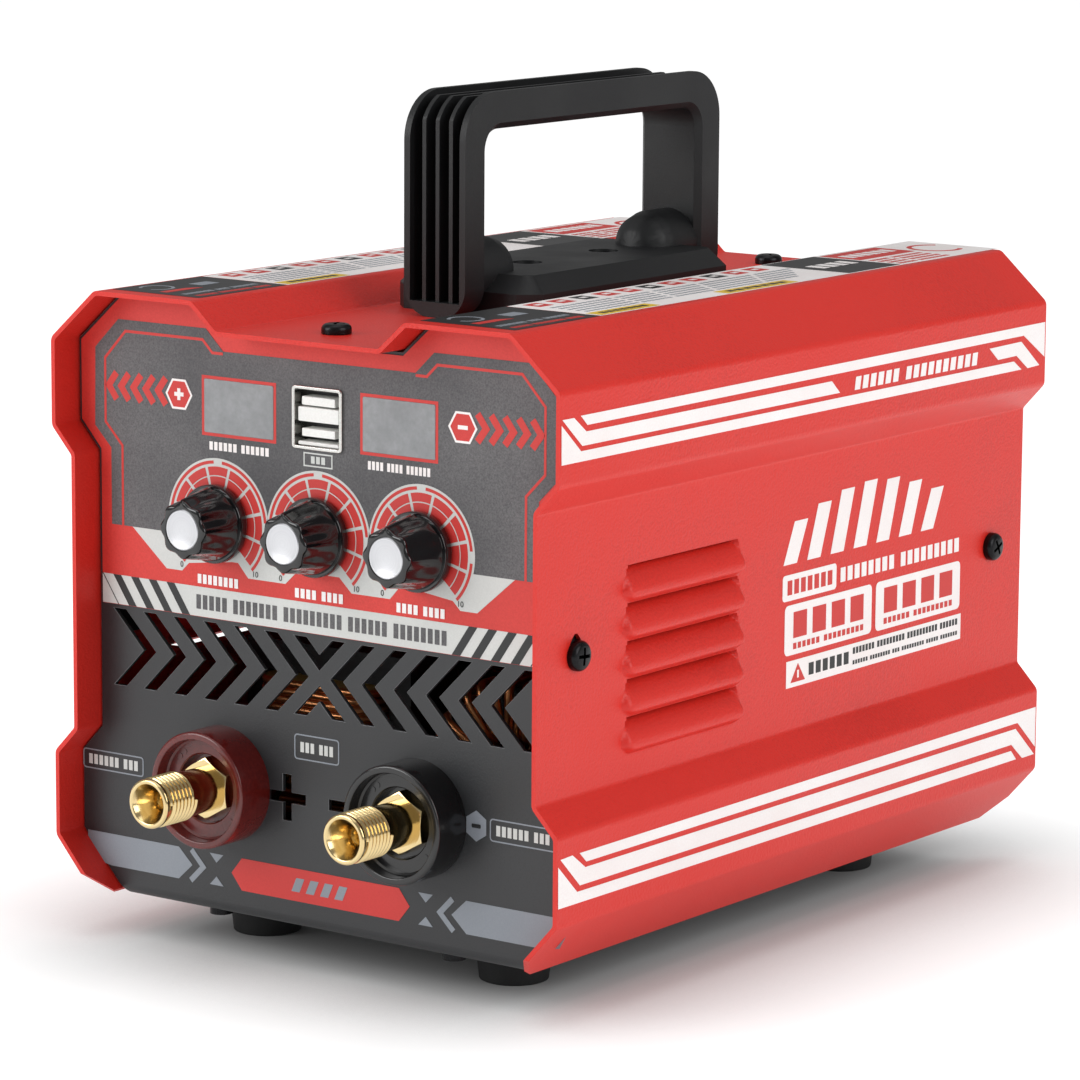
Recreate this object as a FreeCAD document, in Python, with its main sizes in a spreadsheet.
import FreeCAD, Part
import math
import os
import Sketcher
from FreeCAD import Placement, Rotation, Vector

# Stick welding inverter.  Millimetres, +Z up, the front panel faces -Y and +X is to the right seen
# from the front.  The origin is on the floor under the middle of the case.
# Heights are measured from the underside of the tray, which stands foot_height above the floor.
# cut_past is how far a cut runs past the faces it goes through, and merge how far a feature runs
# into the solid that it joins.

SIZES = {
    # case section, right-hand half
    "case_depth": 224.0,
    "case_half_width": 80.0,
    "waist_half_width": 73.5,
    "ridge_outer": 65.3,
    "ridge_inner": 33.5,
    "channel_half_width": 25.5,
    "skirt_tip": 66.8,
    "ridge_height": 157.7,
    "channel_height": 150.6,
    "shoulder_height": 144.7,
    "upper_flare_base": 122.1,
    "waist_top": 115.0,
    "waist_bottom": 44.2,
    "lower_flare_top": 37.5,
    "skirt_top": 15.2,
    "skirt_bottom": 0.5,
    "skirt_corner_rise": 5.5,
    "skirt_corner_run": 7.3,
    "cover_wall": 1.2,
    "bend_radius": 1.4,
    # tray and front panel
    "panel_gap": 0.5,
    "panel_recess": 9.0,
    "tray_wall": 1.2,
    "tray_bend": 3.0,
    "tab_depth": 14.0,
    "tab_half_width": 12.0,
    "film_wall": 0.25,
    "film_border": 0.8,
    "film_bottom": 76.1,
    # fastenings
    "cover_screw_setback": 16.0,
    "side_screw_height": 78.8,
    "screw_radius": 2.0,
    "screw_head_radius": 3.8,
    "screw_head_height": 2.6,
    "screw_length": 8.0,
    "hole_clearance": 0.2,
    "tapped_clearance": 0.05,
    "cut_past": 1.0,
    "merge": 1.0,
    # louvres
    "louvre_count": 5.0,
    "louvre_pitch": 9.45,
    "louvre_top": 97.8,
    "louvre_front": 36.4,
    "louvre_length": 49.8,
    "louvre_inset": 3.0,
    "louvre_proud": 1.5,
    "louvre_bridge": 1.3,
    "louvre_lip": 2.0,
    # front panel vents
    "vent_count": 6.0,
    "vent_pitch": 10.0,
    "vent_start": 67.5,
    "vent_slot": 4.1,
    "vent_reach": 10.0,
    "vent_height": 20.0,
    "vent_bottom": 55.0,
    "cross_outer": 8.1,
    "cross_arm": 4.0,
    # front panel controls
    "dial_pitch": 32.2,
    "dial_height": 100.8,
    "pot_bush_radius": 3.5,
    "pot_bush_length": 4.2,
    "pot_body_radius": 8.0,
    "pot_body_depth": 8.0,
    "pot_back_wall": 2.0,
    "pot_nut_radius": 5.0,
    "pot_nut_height": 1.8,
    "shaft_radius": 3.0,
    "running_gap": 0.05,
    "knob_gap": 0.6,
    "knob_length": 13.6,
    "knob_skirt_radius": 10.0,
    "knob_skirt_length": 2.6,
    "knob_skirt_bevel": 0.5,
    "knob_grip_radius": 9.4,
    "knob_nose_radius": 7.9,
    "knob_hollow_radius": 6.2,
    "knob_hollow_depth": 4.6,
    "knob_cap_radius": 5.2,
    "knob_cap_depth": 0.8,
    "knob_web": 2.4,
    "flute_radius": 2.3,
    "flute_offset": 1.05,
    "flute_count": 8.0,
    "meter_width": 23.0,
    "meter_height": 14.2,
    "meter_offset": 25.3,
    "meter_level": 130.3,
    "meter_margin": 1.0,
    "window_wall": 1.0,
    "usb_width": 15.8,
    "usb_level": 130.2,
    "usb_proud": 0.8,
    "usb_wall": 0.8,
    "usb_mouth": 5.6,
    "usb_tongue": 1.9,
    "usb_tongue_setback": 1.0,
    "usb_tongue_margin": 0.8,
    # output terminals
    "terminal_pitch": 62.0,
    "terminal_height": 33.9,
    "collar_radius": 15.0,
    "collar_proud": 11.0,
    "collar_rim": 2.0,
    "collar_dish": 3.7,
    "collar_seat_radius": 9.0,
    "collar_seat_depth": 2.8,
    "collar_spigot_radius": 9.5,
    "collar_spigot_length": 10.0,
    "hexagon_radius": 8.1,
    "hexagon_end": 8.0,
    "nose_radius": 6.5,
    "nose_reach": 29.5,
    "nose_bore": 2.5,
    "nose_bore_depth": 16.0,
    "nose_mouth": 4.8,
    "nose_mouth_depth": 5.0,
    "nose_bevel": 0.5,
    "neck_length": 8.5,
    "neck_radius": 5.9,
    "stud_radius": 4.0,
    "stud_length": 22.0,
    "stud_nut_radius": 7.5,
    "stud_nut_height": 5.0,
    "busbar_width": 16.0,
    "busbar_wall": 2.0,
    # slots beside the terminals
    "sign_offset": 10.4,
    "sign_level": 33.2,
    "sign_long": 12.0,
    "sign_wide": 2.8,
    # handle
    "handle_half_length": 56.5,
    "handle_top": 207.5,
    "handle_half_width": 9.75,
    "handle_bar": 9.6,
    "handle_corner": 12.5,
    "handle_inner_corner": 5.5,
    "handle_bevel": 1.6,
    "rib_wall": 1.9,
    "rib_inner": 1.2,
    "rib_depth": 6.2,
    "rib_recess": 1.2,
    "rib_count": 5.0,
    "rib_floor": 154.5,
    "base_half_length": 46.0,
    "base_half_width": 23.0,
    "base_rise": 10.6,
    "base_bevel": 4.4,
    "base_corner": 5.0,
    "gusset_radius": 9.0,
    "gusset_length": 9.0,
    "handle_screw_offset": 17.0,
    "handle_screw_recess": 3.5,
    "handle_screw_radius": 1.9,
    "handle_screw_length": 16.0,
    "handle_nut_half": 6.0,
    "handle_nut_height": 3.0,
    # feet
    "foot_height": 11.0,
    "foot_top_radius": 10.0,
    "foot_bottom_radius": 8.8,
    "foot_across": 80.0,
    "foot_along": 150.0,
    "foot_recess_radius": 4.6,
    "foot_recess_depth": 4.5,
    "foot_screw_end": 2.0,
    # power board and what stands on it
    "board_level": 9.2,
    "board_wall": 1.6,
    "board_half_width": 60.0,
    "board_front_setback": 11.5,
    "board_rear": 71.0,
    "standoff_radius": 3.2,
    "board_screw_radius": 1.5,
    "board_screw_head": 3.0,
    "board_screw_head_height": 2.0,
    "board_screw_length": 4.8,
    "front_screw_across": 75.0,
    "front_screw_setback": 15.5,
    "rear_screw_across": 110.0,
    "rear_screw_level": 66.0,
    "sink_centre": 38.0,
    "sink_width": 26.0,
    "sink_length": 84.0,
    "sink_middle": 24.0,
    "sink_height": 44.0,
    "sink_back": 4.0,
    "sink_fin": 1.6,
    "sink_fin_count": 8.0,
    "transistor_width": 15.6,
    "transistor_wall": 4.8,
    "transistor_height": 20.5,
    "transistor_pitch": 19.5,
    "transistor_rise": 4.0,
    "device_count": 4.0,
    "capacitor_radius": 13.5,
    "capacitor_height": 42.0,
    "capacitor_gap": 4.0,
    "capacitor_first": -10.0,
    "capacitor_count": 3.0,
    "core_width": 54.0,
    "core_depth": 20.0,
    "core_height": 52.0,
    "core_leg": 18.0,
    "core_window_width": 11.0,
    "core_window_height": 36.0,
    "coil_gap": 0.3,
    "coil_depth": 36.0,
    "transformer_x": -30.0,
    "transformer_y": -52.0,
    "choke_x": 32.0,
    "choke_y": -54.0,
    "choke_outer": 23.0,
    "choke_inner": 13.0,
    "choke_half_depth": 10.0,
    "choke_coil_wall": 3.2,
    # control board
    "control_half_width": 58.0,
    "control_bottom": 84.0,
    "control_top": 142.0,
    # rear panel
    "fan_edge": 62.0,
    "fan_level": 84.0,
    "fan_half": 40.0,
    "fan_depth": 25.0,
    "fan_bore_wall": 2.0,
    "fan_hole_inset": 4.25,
    "fan_hole_radius": 2.15,
    "fan_corner_wall": 4.0,
    "fan_hub_radius": 16.5,
    "fan_blade_gap": 1.2,
    "fan_blade_count": 7.0,
    "fan_blade_wall": 1.6,
    "fan_blade_chord": 22.0,
    "fan_blade_pitch": 38.0,
    "fan_spindle_radius": 2.0,
    "fan_spider_wall": 3.0,
    "fan_spindle_end": 4.0,
    "fan_cap_wall": 2.0,
    "fan_end_gap": 1.5,
    "guard_wire": 1.1,
    "guard_standoff": 3.2,
    "guard_count": 4.0,
    "guard_first": 9.1,
    "guard_pitch": 9.1,
    "guard_eye_wall": 2.4,
    "switch_x": 46.0,
    "switch_level": 118.0,
    "switch_width": 21.0,
    "switch_height": 28.0,
    "switch_bezel": 2.0,
    "switch_bezel_wall": 2.2,
    "switch_depth": 26.0,
    "switch_wall": 1.5,
    "switch_hollow": 13.0,
    "rocker_gap": 0.5,
    "rocker_pivot": 4.5,
    "rocker_root": 7.0,
    "rocker_valley": 5.4,
    "rocker_rise": 33.0,
    "rocker_tilt": 10.0,
    "rocker_pin": 1.2,
    "gland_x": 46.0,
    "gland_level": 34.0,
    "gland_thread_radius": 10.0,
    "gland_hexagon_wall": 3.5,
    "gland_hexagon_length": 6.0,
    "gland_bore": 4.5,
    "gland_cap_step": 1.6,
    "gland_reach": 29.5,
    "gland_seal_radius": 7.0,
    "gland_seal_length": 12.0,
    "gland_play": 0.2,
    "gland_wall": 0.5,
    "gland_thread_step": 0.6,
    "gland_end": 2.0,
    "gland_shoulder": 8.0,
    "gland_crown": 3.0,
    "gland_lip": 2.2,
    "gland_nut_wall": 3.0,
    "gland_nut_height": 5.0,
    "earth_x": 20.0,
    "earth_level": 18.0,
    "earth_radius": 3.0,
    "earth_length": 16.0,
    "earth_head_radius": 5.6,
    "earth_head_height": 4.0,
    "earth_nut_height": 4.8,
}


class Size:
    """A length that carries its formula for the sheet and its number together."""

    def __init__(self, text, value):
        self.text = text
        self.value = value

    def __add__(self, other):
        other = as_size(other)
        return Size(f"({self.text} + {other.text})", self.value + other.value)

    __radd__ = __add__

    def __sub__(self, other):
        other = as_size(other)
        return Size(f"({self.text} - {other.text})", self.value - other.value)

    def __rsub__(self, other):
        return as_size(other) - self

    def __mul__(self, other):
        other = as_size(other)
        return Size(f"({self.text} * {other.text})", self.value * other.value)

    __rmul__ = __mul__

    def __truediv__(self, other):
        other = as_size(other)
        return Size(f"({self.text} / {other.text})", self.value / other.value)

    def __neg__(self):
        return self * -1.0


def as_size(item):
    """Plain numbers join in formulas as they are."""
    return item if isinstance(item, Size) else Size(f"({float(item)!r})", float(item))


def root(item):
    return Size(f"sqrt({item.text})", math.sqrt(item.value))


def half_tangent(rise, run):
    """Tangent of half the angle whose tangent is rise / run."""
    return (root(rise * rise + run * run) - run) / rise


class Sheet:
    """The spreadsheet of driving dimensions, read as attributes."""

    def __init__(self, document):
        sheet = document.addObject("Spreadsheet::Sheet", "Sizes")
        sheet.Label = "Sizes"
        for row, (alias, number) in enumerate(SIZES.items(), start=1):
            sheet.set(f"A{row}", alias)
            sheet.set(f"B{row}", str(number))
            sheet.setAlias(f"B{row}", alias)
        document.recompute()

    def __getattr__(self, alias):
        return Size(f"Sizes.{alias}", SIZES[alias])


DOC = FreeCAD.newDocument("stick_welding_inverter")
S = Sheet(DOC)
NODES = {}

TURNS = {
    "x": Rotation(Vector(0, 1, 0), 90),
    "y": Rotation(Vector(1, 0, 0), -90),
    "z": Rotation(),
}
PLANES = {"x": "YZ_Plane", "y": "XZ_Plane", "z": "XY_Plane"}


def bind(item, name, size):
    """Set a property of item from the sheet."""
    item.setExpression(name, as_size(size).text)


def up(level):
    """Height above the floor of a level measured from the underside of the tray."""
    return S.foot_height + level


def numbers(count):
    return range(int(round(count.value)))


def node(name, item):
    """Make item the sub-part called name."""
    item.Label = name
    NODES[name] = item
    return item


# ---------------------------------------------------------------- sketches and bodies


def polygon(points):
    """A closed outline with every vertex held by its own sizes."""

    def draw(sketch):
        first = sketch.GeometryCount
        count = len(points)
        spots = [Vector(as_size(x).value, as_size(y).value, 0) for x, y in points]
        for index in range(count):
            line = Part.LineSegment(spots[index], spots[(index + 1) % count])
            sketch.addGeometry(line, False)
        for index, (x, y) in enumerate(points):
            following = first + (index + 1) % count
            sketch.addConstraint(Sketcher.Constraint("Coincident", first + index, 2, following, 1))
            for kind, size in (("DistanceX", x), ("DistanceY", y)):
                fixed = Sketcher.Constraint(kind, -1, 1, first + index, 1, as_size(size).value)
                place = sketch.addConstraint(fixed)
                bind(sketch, f"Constraints[{place}]", size)

    return draw


def circle(x, y, radius):
    """A circle with its centre and radius held by sizes."""

    def draw(sketch):
        centre = Vector(as_size(x).value, as_size(y).value, 0)
        edge = sketch.addGeometry(Part.Circle(centre, Vector(0, 0, 1), as_size(radius).value), False)
        for kind, size in (("DistanceX", x), ("DistanceY", y)):
            place = sketch.addConstraint(Sketcher.Constraint(kind, -1, 1, edge, 3, as_size(size).value))
            bind(sketch, f"Constraints[{place}]", size)
        place = sketch.addConstraint(Sketcher.Constraint("Radius", edge, as_size(radius).value))
        bind(sketch, f"Constraints[{place}]", radius)

    return draw


def rectangle(x, y, width, height):
    """A rectangle centred on x, y."""
    left, right = x - width / 2, x + width / 2
    low, high = y - height / 2, y + height / 2
    return polygon([(left, low), (right, low), (right, high), (left, high)])


class Piece:
    """One sub-part as a PartDesign body; heights in its sketches start at the tray's underside."""

    def __init__(self, name, at=(0, 0, 0)):
        self.body = DOC.addObject("PartDesign::Body", name)
        node(name, self.body)
        for letter, size in zip("xyz", (at[0], at[1], up(at[2]))):
            bind(self.body, f"Placement.Base.{letter}", size)

    def sketch(self, plane, shapes, shift=0):
        made = self.body.newObject("Sketcher::SketchObject", f"{self.body.Name}_sketch")
        origin = self.body.Origin.OriginFeatures
        made.AttachmentSupport = (next(item for item in origin if item.Role == plane), [""])
        made.MapMode = "FlatFace"
        bind(made, "AttachmentOffset.Base.z", shift)
        for shape in shapes:
            shape(made)
        return made

    def _extrude(self, kind, axis, shapes, start, length):
        shift = -as_size(start) if axis == "y" else start
        profile = self.sketch(PLANES[axis], shapes, shift)
        feature = self.body.newObject(f"PartDesign::{kind}", f"{self.body.Name}_{kind.lower()}")
        feature.Profile = profile
        feature.Reversed = (axis == "y") == (kind == "Pad")
        bind(feature, "Length", length)
        DOC.recompute()
        return feature

    def pad(self, axis, shapes, start, length):
        """Add the outlines, from start, length along the axis."""
        return self._extrude("Pad", axis, shapes, start, length)

    def pocket(self, axis, shapes, start, length):
        """Cut the outlines, from start, length along the axis."""
        before = self.body.Shape.Volume
        feature = self._extrude("Pocket", axis, shapes, start, length)
        if self.body.Shape.Volume >= before:
            raise ValueError(f"a pocket in {self.body.Label} cuts nothing")
        return feature

    def spin(self, axis, points):
        """Turn a half section of (radius, position) points about the axis."""
        plane = "XY_Plane" if axis == "y" else "XZ_Plane"
        profile = self.sketch(plane, [polygon(points)])
        feature = self.body.newObject("PartDesign::Revolution", f"{self.body.Name}_spin")
        feature.Profile = profile
        feature.ReferenceAxis = (profile, ["V_Axis"])
        feature.Angle = 360
        DOC.recompute()
        return feature

    def dress(self, kind, size, wanted):
        """Fillet or chamfer the edges that wanted picks by their ends."""
        tip = self.body.Tip
        names = []
        for index, edge in enumerate(tip.Shape.Edges, start=1):
            if len(edge.Vertexes) == 2 and wanted(edge.Vertexes[0].Point, edge.Vertexes[1].Point):
                names.append(f"Edge{index}")
        if not names:
            raise ValueError(f"no edge of {self.body.Label} takes its {kind.lower()}")
        feature = self.body.newObject(f"PartDesign::{kind}", f"{self.body.Name}_{kind.lower()}")
        feature.Base = (tip, names)
        bind(feature, "Radius" if kind == "Fillet" else "Size", size)
        DOC.recompute()
        return feature

    def repeat_round(self, feature, count):
        """Repeat a feature about the body's Y axis."""
        pattern = self.body.newObject("PartDesign::PolarPattern", f"{self.body.Name}_round")
        origin = self.body.Origin.OriginFeatures
        pattern.Originals = [feature]
        pattern.Axis = (next(item for item in origin if item.Role == "Y_Axis"), [""])
        pattern.Angle = 360
        bind(pattern, "Occurrences", count)
        self.body.Tip = pattern
        DOC.recompute()


def near(a, b, slack=0.02):
    return abs(a - b) < slack


# ---------------------------------------------------------------- plain solids


def placed(item, at, axis="z"):
    item.Placement = Placement(Vector(), TURNS[axis])
    for letter, size in zip("xyz", at):
        bind(item, f"Placement.Base.{letter}", size)
    return item


def block(name, at, size):
    """A box centred on at in X and Y and standing on its Z."""
    made = DOC.addObject("Part::Box", name)
    for name_of, length in zip(("Length", "Width", "Height"), size):
        bind(made, name_of, length)
    return placed(made, (at[0] - as_size(size[0]) / 2, at[1] - as_size(size[1]) / 2, at[2]))


def rod(name, at, radius, length, axis="z"):
    """A cylinder from at, length along the axis."""
    made = DOC.addObject("Part::Cylinder", name)
    bind(made, "Radius", radius)
    bind(made, "Height", length)
    return placed(made, at, axis)


def hexagon(name, at, radius, length, axis="z"):
    """A hexagonal bar, radius to its corners, from at along the axis."""
    made = DOC.addObject("Part::Prism", name)
    made.Polygon = 6
    bind(made, "Circumradius", radius)
    bind(made, "Height", length)
    return placed(made, at, axis)


def fuse(name, parts):
    made = DOC.addObject("Part::MultiFuse", name)
    made.Shapes = parts
    return made


def cut(name, base, tools):
    made = DOC.addObject("Part::Cut", name)
    made.Base = base
    made.Tool = tools[0] if len(tools) == 1 else fuse(f"{name}_tools", tools)
    return made


def group(name, parts):
    """Identical loose pieces that share one name."""
    made = DOC.addObject("Part::Compound", name)
    made.Links = parts
    return made


# ---------------------------------------------------------------- case


def case_section(inset):
    """Right-hand half of the case section, from the channel to the skirt, moved inwards by inset."""
    channel = half_tangent(S.ridge_height - S.channel_height, S.ridge_inner - S.channel_half_width)
    drop = S.ridge_height - S.shoulder_height
    shoulder = S.case_half_width - S.ridge_outer
    ridge_turn = half_tangent(drop, shoulder)
    shoulder_turn = half_tangent(shoulder, drop)
    waist = S.case_half_width - S.waist_half_width
    upper_turn = half_tangent(waist, S.upper_flare_base - S.waist_top)
    lower_turn = half_tangent(waist, S.waist_bottom - S.lower_flare_top)
    skirt_turn = half_tangent(S.case_half_width - S.skirt_tip, S.skirt_top - S.skirt_bottom)
    side = S.case_half_width - inset
    return {
        "channel": (S.channel_half_width + inset * channel, S.channel_height - inset),
        "ridge_inner": (S.ridge_inner + inset * channel, S.ridge_height - inset),
        "ridge_outer": (S.ridge_outer - inset * ridge_turn, S.ridge_height - inset),
        "shoulder": (side, S.shoulder_height - inset * shoulder_turn),
        "flare": (side, S.upper_flare_base + inset * upper_turn),
        "waist_top": (S.waist_half_width - inset, S.waist_top + inset * upper_turn),
        "waist_bottom": (S.waist_half_width - inset, S.waist_bottom - inset * lower_turn),
        "lower_flare": (side, S.lower_flare_top - inset * lower_turn),
        "skirt": (side, S.skirt_top + inset * skirt_turn),
    }


def skirt_x(inset, level):
    """Half-width of the slanted skirt at a level, moved inwards by inset."""
    lean = (S.case_half_width - S.skirt_tip) / (S.skirt_top - S.skirt_bottom)
    x, height = case_section(inset)["skirt"]
    return x - (height - level) * lean


def mirrored(points):
    """The left-hand half of an outline, in reverse order."""
    return [(-as_size(x), z) for x, z in reversed(points)]


def cover():
    """The red outer sheet: top, sides and skirts in one bent piece, open below and at both ends."""
    piece = Piece("cover")
    outer = list(case_section(as_size(0)).values()) + [(S.skirt_tip, S.skirt_bottom)]
    foot = (skirt_x(S.cover_wall, S.skirt_bottom), S.skirt_bottom)
    inner = list(case_section(S.cover_wall).values()) + [foot]
    ring = mirrored(outer) + outer + list(reversed(inner)) + list(reversed(mirrored(inner)))
    piece.pad("y", [polygon(ring)], -S.case_depth / 2, S.case_depth)
    cover_bends(piece)
    cover_openings(piece)
    cover_louvres(piece)


def cover_bends(piece):
    """Round the long bends, with one inside radius everywhere."""
    inwards = ("channel", "waist_top", "waist_bottom")
    tight, wide = [], []
    for inset, is_outer in ((as_size(0), True), (S.cover_wall, False)):
        for name, (x, z) in case_section(inset).items():
            chosen = wide if (name in inwards) != is_outer else tight
            chosen.append((x.value, z.value))
    for size, spots in ((S.bend_radius + S.cover_wall, wide), (S.bend_radius, tight)):

        def at_bend(a, b):
            along = near(a.x, b.x) and near(a.z, b.z) and abs(a.y - b.y) > S.case_depth.value / 2
            return along and any(near(abs(a.x), x) and near(a.z, z) for x, z in spots)

        piece.dress("Fillet", size, at_bend)


def cover_openings(piece):
    """Screw holes and the cropped corners of the skirts."""
    hole = S.screw_radius + S.hole_clearance
    line = S.case_depth / 2 - S.cover_screw_setback
    tops = [circle(0, y, hole) for y in (-line, line)]
    fixing = S.handle_screw_radius + S.hole_clearance
    tops += [circle(0, y, fixing) for y in (-S.handle_screw_offset, S.handle_screw_offset)]
    piece.pocket("z", tops, S.channel_height - 2 * S.cover_wall, 3 * S.cover_wall)
    sides = [circle(y, S.side_screw_height, hole) for y in (-line, line)]
    left, width = -S.case_half_width - S.cut_past, 2 * (S.case_half_width + S.cut_past)
    piece.pocket("x", sides, left, width)
    for end in (-1, 1):
        edge = end * S.case_depth / 2
        corner = [
            (edge + end * S.cut_past, S.skirt_bottom + S.skirt_corner_rise),
            (edge, S.skirt_bottom + S.skirt_corner_rise),
            (edge - end * S.skirt_corner_run, S.skirt_bottom),
            (edge - end * S.skirt_corner_run, S.skirt_bottom - S.cut_past),
            (edge + end * S.cut_past, S.skirt_bottom - S.cut_past),
        ]
        piece.pocket("x", [polygon(corner)], left, width)


def cover_louvres(piece):
    """Louvres on both sides: the top edge is pressed in and the bottom edge stands proud."""
    start = -S.case_depth / 2 + S.louvre_front
    drop = S.louvre_pitch - S.louvre_bridge
    windows, blades, cheeks = [], [], []
    for index in numbers(S.louvre_count):
        top = S.louvre_top - index * S.louvre_pitch
        middle = start + S.louvre_length / 2
        windows.append(rectangle(middle, top - drop / 2, S.louvre_length, drop))
        for side in (-1, 1):
            blade, cheek = louvre_section(side, top, top - drop)
            blades.append(polygon(blade))
            cheeks.append(polygon(cheek))
    piece.pocket("x", windows, -S.case_half_width, 2 * S.case_half_width)
    piece.pad("y", blades, start, S.louvre_length)
    piece.pad("y", cheeks, start, S.cover_wall)
    piece.pad("y", cheeks, start + S.louvre_length - S.cover_wall, S.cover_wall)


def louvre_section(side, top, bottom):
    """Section of one louvre blade, and of the cheek that closes its end."""
    face = S.waist_half_width
    inner = face - S.cover_wall
    crest = bottom + S.louvre_lip
    blade = [
        (side * (face - S.louvre_inset), top),
        (side * (face + S.louvre_proud), crest),
        (side * face, bottom),
        (side * inner, bottom),
        (side * (inner + S.louvre_proud), crest),
        (side * (inner - S.louvre_inset), top),
    ]
    cheek = [(side * face, top)] + blade[1:]
    return blade, cheek


def tray():
    """The black tray: front panel, bottom and rear panel, with tabs for the cover's screws."""
    piece = Piece("chassis_tray")
    inset = S.cover_wall + S.panel_gap
    half = list(case_section(inset).values()) + [(skirt_x(inset, as_size(0)), 0)]
    panel = polygon(mirrored(half) + half)
    face = S.case_depth / 2 - S.panel_recess
    piece.pad("y", [panel], -face, S.tray_wall)
    piece.pad("y", [panel], face - S.tray_wall, S.tray_wall)
    low, high = skirt_x(inset, as_size(0)), skirt_x(inset, S.tray_wall)
    floor = [(-high, S.tray_wall), (-low, 0), (low, 0), (high, S.tray_wall)]
    piece.pad("y", [polygon(floor)], -face, 2 * face)

    def at_bend(a, b, y, z):
        return near(a.z, z) and near(b.z, z) and near(abs(a.y), y) and near(a.y, b.y)

    inner_y = face.value - S.tray_wall.value
    piece.dress("Fillet", S.tray_bend, lambda a, b: at_bend(a, b, face.value, 0))
    piece.dress(
        "Fillet", S.tray_bend - S.tray_wall, lambda a, b: at_bend(a, b, inner_y, S.tray_wall.value)
    )
    tray_tabs(piece, inset, face)
    front_openings(piece, face)
    rear_openings(piece, face)
    floor_holes(piece)


def tray_tabs(piece, inset, face):
    side = S.waist_half_width - inset - S.tray_wall / 2
    top = S.channel_height - inset - S.tray_wall / 2
    width = 2 * S.tab_half_width
    tabs = [rectangle(as_size(0), top, width, S.tray_wall)]
    for hand in (-1, 1):
        tabs.append(rectangle(hand * side, S.side_screw_height, S.tray_wall, width))
    piece.pad("y", tabs, -face, S.tab_depth)
    piece.pad("y", tabs, face - S.tab_depth, S.tab_depth)
    tapped = S.screw_radius + S.tapped_clearance
    line = S.case_depth / 2 - S.cover_screw_setback
    through = 2 * S.tray_wall
    piece.pocket("z", [circle(0, y, tapped) for y in (-line, line)], top - through, 2 * through)
    reach = 2 * S.case_half_width
    piece.pocket("x", [circle(y, S.side_screw_height, tapped) for y in (-line, line)], -reach / 2, reach)


def chevron(tip_side, left, bottom):
    """One bent vent slot; tip_side is 1 when it points right."""
    middle, top = bottom + S.vent_height / 2, bottom + S.vent_height
    lean = tip_side * S.vent_reach
    return polygon([
        (left, top), (left + S.vent_slot, top), (left + S.vent_slot + lean, middle),
        (left + S.vent_slot, bottom), (left, bottom), (left + lean, middle),
    ])


def front_openings(piece, face):
    """Everything that is cut through the front panel."""
    cuts = []
    for index in numbers(S.vent_count):
        start = -S.vent_start + index * S.vent_pitch
        cuts.append(chevron(1, start, S.vent_bottom))
        cuts.append(chevron(-1, -start - S.vent_slot, S.vent_bottom))
    top = S.vent_bottom + S.vent_height
    rise = (S.vent_height / 2) * (S.cross_outer / S.vent_reach)
    slack = (S.vent_height / 2) * (S.cross_arm / S.vent_reach)
    inner = S.cross_outer - S.cross_arm
    for level, sense in ((top, -1), (S.vent_bottom, 1)):
        cuts.append(polygon([
            (-S.cross_outer, level), (-inner, level), (0, level + sense * (rise - slack)),
            (inner, level), (S.cross_outer, level), (0, level + sense * rise),
        ]))
    cuts += [circle(x, S.dial_height, S.pot_bush_radius + S.hole_clearance) for x in dial_places()]
    for hand in (-1, 1):
        spigot = S.collar_spigot_radius + S.hole_clearance
        cuts.append(circle(hand * S.terminal_pitch / 2, S.terminal_height, spigot))
        cuts.append(rectangle(hand * S.meter_offset, S.meter_level, S.meter_width, S.meter_height))
    usb = S.usb_width + 2 * S.hole_clearance
    cuts.append(rectangle(as_size(0), S.usb_level, usb, usb))
    start, depth = -face - S.cut_past, S.tray_wall + 2 * S.cut_past
    piece.pocket("y", cuts, start, depth)
    half, arm = S.sign_wide / 2, S.sign_long / 2
    cross = [(half, arm), (half, half), (arm, half)]
    ring = cross + [(x, -z) for x, z in reversed(cross)]
    ring += [(-x, -z) for x, z in cross] + [(-x, z) for x, z in reversed(cross)]
    plus = [(x - S.sign_offset, z + S.sign_level) for x, z in ring]
    minus = rectangle(S.sign_offset - half, S.sign_level, S.sign_long, S.sign_wide)
    piece.pocket("y", [polygon(plus), minus], start, depth)


def rear_openings(piece, face):
    """Fan opening, fan screws, switch, gland and earth stud."""
    half = fan_hole_pitch() / 2
    cuts = [circle(fan_middle(), S.fan_level, fan_bore() - S.merge)]
    for x, z in ((-half, -half), (half, -half), (half, half), (-half, half)):
        cuts.append(circle(fan_middle() + x, S.fan_level + z, S.fan_hole_radius))
    slack = 2 * S.hole_clearance
    cuts.append(rectangle(S.switch_x, S.switch_level, S.switch_width + slack, S.switch_height + slack))
    cuts.append(circle(S.gland_x, S.gland_level, S.gland_thread_radius + S.hole_clearance))
    cuts.append(circle(S.earth_x, S.earth_level, S.earth_radius + S.hole_clearance))
    piece.pocket("y", cuts, face - S.tray_wall - S.cut_past, S.tray_wall + 2 * S.cut_past)


def floor_holes(piece):
    holes = [circle(x, y, S.screw_radius + S.tapped_clearance) for x, y in foot_places()]
    holes += [circle(x, y, S.board_screw_radius + S.hole_clearance) for x, y in board_places()]
    piece.pocket("z", holes, -S.cut_past, S.tray_wall + 2 * S.cut_past)


def dial_places():
    return [-S.dial_pitch, as_size(0), S.dial_pitch]


def foot_places():
    along, across = S.foot_along / 2, S.foot_across / 2
    return [(x, y) for x in (-across, across) for y in (-along, along)]


def fan_middle():
    return S.fan_half - S.fan_edge


def fan_bore():
    return S.fan_half - S.fan_bore_wall


def fan_hole_pitch():
    return 2 * (S.fan_half - S.fan_hole_inset)


def board_places():
    front = -S.case_depth / 2 + S.front_screw_setback
    places = [(hand * S.front_screw_across / 2, front) for hand in (-1, 1)]
    return places + [(hand * S.rear_screw_across / 2, S.rear_screw_level) for hand in (-1, 1)]


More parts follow.
